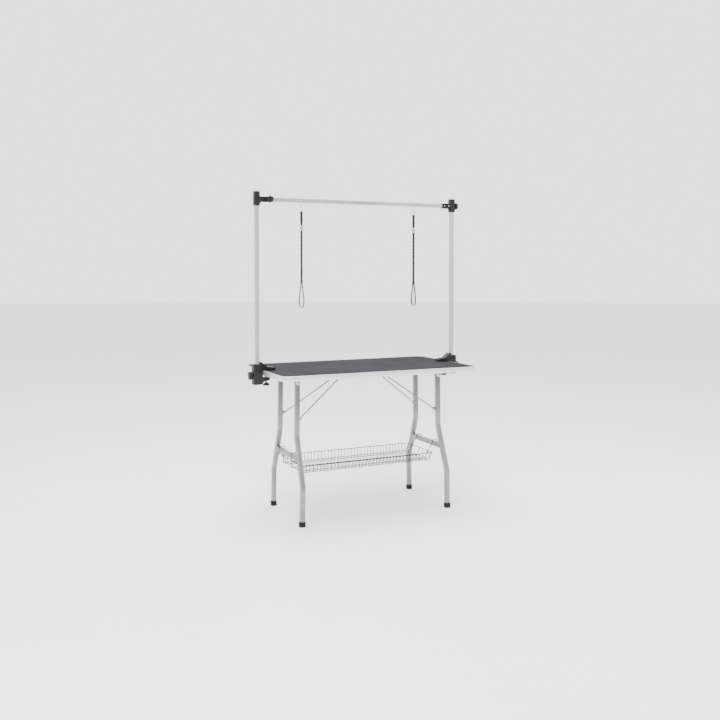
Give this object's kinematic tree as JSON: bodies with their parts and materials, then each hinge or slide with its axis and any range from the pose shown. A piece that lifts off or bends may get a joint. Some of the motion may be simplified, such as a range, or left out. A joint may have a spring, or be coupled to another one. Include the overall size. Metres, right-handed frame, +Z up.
{
  "type": "folding pet grooming table",
  "caption": "Folding grooming table with a rubber-topped board, splayed steel legs, a wire basket and a clamped overhead bar that carries nooses.",
  "frame": {"origin": "on the floor, under the middle of the table top", "axes": "+X along the table, +Y to its back, +Z up"},
  "size_m": [1.2068, 0.608, 1.63],
  "materials": {
    "leg_enamel": "satin silver powder coat",
    "foot_rubber": "matt",
    "trim_aluminium": "satin",
    "board": "raw fibreboard",
    "mat_rubber": "fine non-slip texture",
    "arm_aluminium": "satin",
    "knob_plastic": "moulded",
    "black_plastic": "moulded",
    "basket_wire": "dark coated wire",
    "webbing": "woven",
    "chrome": "polished",
    "zinc_steel": "zinc plated",
    "fastener_steel": "zinc plated"
  },
  "bodies": {
    "table": {"tabletop_board": "board", "top_mat": "mat_rubber", "edge_trim": "trim_aluminium", "hinge_brackets": "zinc_steel", "hinge_pins": "fastener_steel", "brace_catches": "zinc_steel", "underside_screws": "fastener_steel", "left_clamp_body": "black_plastic", "right_clamp_body": "black_plastic"},
    "basket": {"basket_floor": "basket_wire", "basket_front_wall": "basket_wire", "basket_back_wall": "basket_wire", "basket_left_end": "basket_wire", "basket_right_end": "basket_wire"},
    "arm": {"left_post": "arm_aluminium", "right_post": "arm_aluminium", "top_bar": "arm_aluminium", "left_corner_fitting": "black_plastic", "right_corner_fitting": "black_plastic", "noose_staples": "chrome"},
    "left_leg_frame": {"left_front_leg": "leg_enamel", "left_rear_leg": "leg_enamel", "left_crossbar": "leg_enamel", "left_feet": "foot_rubber", "left_brace_lugs": "zinc_steel", "left_brace_rivets": "fastener_steel", "left_basket_hooks": "basket_wire"},
    "left_brace": {"left_brace_front_rod": "zinc_steel", "left_brace_rear_rod": "zinc_steel", "left_brace_apex_bar": "zinc_steel"},
    "left_clamp_knob": {"left_clamp_knob": "knob_plastic", "left_clamp_stud": "fastener_steel"},
    "left_clamp_screw": {"left_clamp_screw": "fastener_steel", "left_screw_grip": "knob_plastic"},
    "left_fitting_knob": {"left_fitting_knob": "knob_plastic", "left_fitting_stud": "fastener_steel"},
    "left_noose_hook": {"left_snap_hook": "chrome"},
    "left_noose": {"left_swivel_ring": "chrome", "left_noose_strap": "webbing"},
    "left_slider": {"left_noose_slider": "chrome"},
    "right_leg_frame": {"right_front_leg": "leg_enamel", "right_rear_leg": "leg_enamel", "right_crossbar": "leg_enamel", "right_feet": "foot_rubber", "right_brace_lugs": "zinc_steel", "right_brace_rivets": "fastener_steel", "right_basket_hooks": "basket_wire"},
    "right_brace": {"right_brace_front_rod": "zinc_steel", "right_brace_rear_rod": "zinc_steel", "right_brace_apex_bar": "zinc_steel"},
    "right_clamp_knob": {"right_clamp_knob": "knob_plastic", "right_clamp_stud": "fastener_steel"},
    "right_clamp_screw": {"right_clamp_screw": "fastener_steel", "right_screw_grip": "knob_plastic"},
    "right_fitting_knob": {"right_fitting_knob": "knob_plastic", "right_fitting_stud": "fastener_steel"},
    "right_noose_hook": {"right_snap_hook": "chrome"},
    "right_noose": {"right_swivel_ring": "chrome", "right_noose_strap": "webbing"},
    "right_slider": {"right_noose_slider": "chrome"}
  },
  "joints": [
    {"name": "left_leg_fold", "type": "hinge", "parent": "table", "child": "left_leg_frame", "pos_m": [-0.396, 0, 0.69], "axis": [0, -1, 0], "range_deg": [0, 90]},
    {"name": "left_brace_swing", "type": "hinge", "parent": "left_leg_frame", "child": "left_brace", "pos_m": [-0.379, 0, 0.508], "axis": [0, -1, 0], "range_deg": [-127.5, 0]},
    {"name": "right_leg_fold", "type": "hinge", "parent": "table", "child": "right_leg_frame", "pos_m": [0.396, 0, 0.69], "axis": [0, 1, 0], "range_deg": [0, 84]},
    {"name": "right_brace_swing", "type": "hinge", "parent": "right_leg_frame", "child": "right_brace", "pos_m": [0.379, 0, 0.508], "axis": [0, 1, 0], "range_deg": [-127.5, 0]},
    {"name": "arm_height", "type": "slide", "parent": "table", "child": "arm", "axis": [0, 0, 1], "range_m": [-0.3, 0]},
    {"name": "basket_slide", "type": "slide", "parent": "table", "child": "basket", "axis": [0, -1, 0], "range_m": [0, 0.45]},
    {"name": "left_clamp_knob_turn", "type": "hinge", "parent": "table", "child": "left_clamp_knob", "pos_m": [-0.582, 0.01, 0.719], "axis": [-1, 0, 0], "continuous": true},
    {"name": "left_clamp_screw_turn", "type": "hinge", "parent": "table", "child": "left_clamp_screw", "pos_m": [-0.512, 0.01, 0.69], "axis": [0, 0, 1], "continuous": true},
    {"name": "left_fitting_knob_turn", "type": "hinge", "parent": "arm", "child": "left_fitting_knob", "pos_m": [-0.496, -0.0035, 1.592], "axis": [0, -1, 0], "continuous": true},
    {"name": "left_noose_swing", "type": "hinge", "parent": "arm", "child": "left_noose_hook", "pos_m": [-0.322, 0.01, 1.574], "axis": [0, 1, 0], "range_deg": [-75, 24]},
    {"name": "left_noose_swivel", "type": "hinge", "parent": "left_noose_hook", "child": "left_noose", "pos_m": [-0.322, 0.01, 1.54], "axis": [0, 0, 1], "continuous": true},
    {"name": "left_slider_slide", "type": "slide", "parent": "left_noose", "child": "left_slider", "axis": [0, 0, 1], "range_m": [-0.25, 0]},
    {"name": "right_clamp_knob_turn", "type": "hinge", "parent": "table", "child": "right_clamp_knob", "pos_m": [0.582, 0.01, 0.719], "axis": [1, 0, 0], "continuous": true},
    {"name": "right_clamp_screw_turn", "type": "hinge", "parent": "table", "child": "right_clamp_screw", "pos_m": [0.512, 0.01, 0.69], "axis": [0, 0, 1], "continuous": true},
    {"name": "right_fitting_knob_turn", "type": "hinge", "parent": "arm", "child": "right_fitting_knob", "pos_m": [0.57325, 0.01, 1.592], "axis": [1, 0, 0], "continuous": true},
    {"name": "right_noose_swing", "type": "hinge", "parent": "arm", "child": "right_noose_hook", "pos_m": [0.322, 0.01, 1.574], "axis": [0, 1, 0], "range_deg": [-24, 75]},
    {"name": "right_noose_swivel", "type": "hinge", "parent": "right_noose_hook", "child": "right_noose", "pos_m": [0.322, 0.01, 1.54], "axis": [0, 0, 1], "continuous": true},
    {"name": "right_slider_slide", "type": "slide", "parent": "right_noose", "child": "right_slider", "axis": [0, 0, 1], "range_m": [-0.25, 0]}
  ],
  "couplings": [
    {"joint": "left_brace_swing", "follows": "left_leg_fold", "ratio": -1.4156},
    {"joint": "right_brace_swing", "follows": "right_leg_fold", "ratio": -1.5167}
  ]
}
